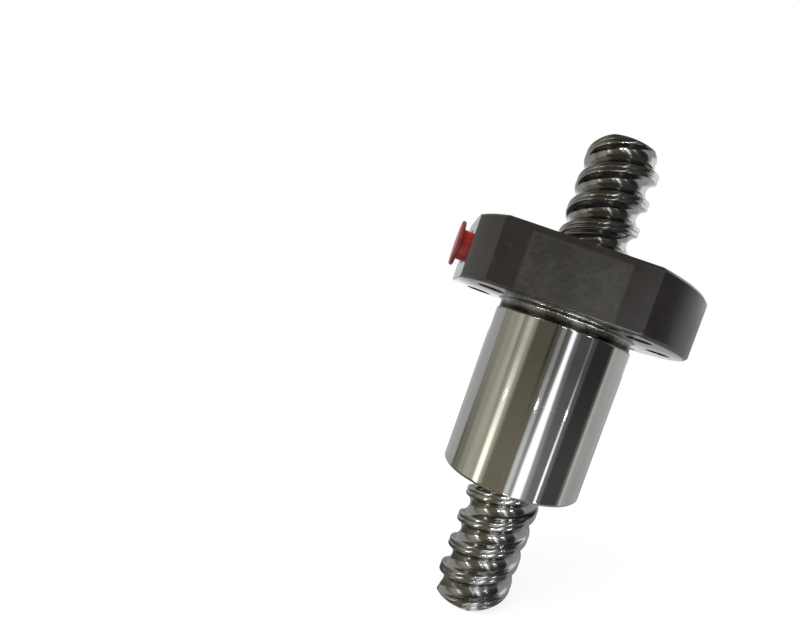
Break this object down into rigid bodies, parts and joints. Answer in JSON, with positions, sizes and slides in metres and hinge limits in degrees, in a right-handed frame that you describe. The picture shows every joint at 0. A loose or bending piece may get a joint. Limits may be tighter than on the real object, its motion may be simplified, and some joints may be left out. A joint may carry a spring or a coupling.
{
  "type": "ball screw nut",
  "caption": "Flanged ball screw nut on a piece of its screw: flatted round flange, ground cylindrical body, ball circuits, end seals and a grease port plug.",
  "frame": {"origin": "on the screw axis, in the plane of the flange seat, which is the side of the flange that the body leaves", "axes": "+Z along the screw towards the outer face of the flange; +X through the middle of the flange's round side, so the two flats face +Y and -Y"},
  "size_m": [0.0454, 0.038, 0.086],
  "materials": {
    "nut_steel": "blackened flange, ground bright body",
    "screw_steel": "rolled and polished",
    "ball_steel": "polished",
    "deflector_steel": "sintered",
    "wiper_resin": "machined resin",
    "oil_felt": "oiled wool felt",
    "spring_steel": "phosphated",
    "plug_red": "moulded soft plastic"
  },
  "bodies": {
    "nut": {"nut_body": "nut_steel", "ball_circuit_1": "ball_steel", "ball_circuit_2": "ball_steel", "deflector_1": "deflector_steel", "deflector_2": "deflector_steel", "wiper_seal_upper": "wiper_resin", "wiper_seal_lower": "wiper_resin", "snap_ring_upper": "spring_steel", "snap_ring_lower": "spring_steel"},
    "felt_rings": {"felt_ring_upper": "oil_felt", "felt_ring_lower": "oil_felt"},
    "screw": {"screw_shaft": "screw_steel"},
    "plug": {"grease_port_plug": "plug_red"}
  },
  "joints": [
    {"name": "screw_turn", "type": "hinge", "parent": "nut", "child": "felt_rings", "pos_m": [0, 0, 0], "axis": [0, 0, 1], "range_deg": [-541, 541]},
    {"name": "screw_feed", "type": "slide", "parent": "felt_rings", "child": "screw", "axis": [0, 0, 1], "range_m": [-0.015, 0.015]},
    {"name": "plug_pull", "type": "slide", "parent": "nut", "child": "plug", "axis": [-0.9239, -0.3827, 0], "range_m": [0, 0.012]}
  ],
  "couplings": [
    {"joint": "screw_turn", "follows": "screw_feed", "rad_per_m": 628.32}
  ]
}
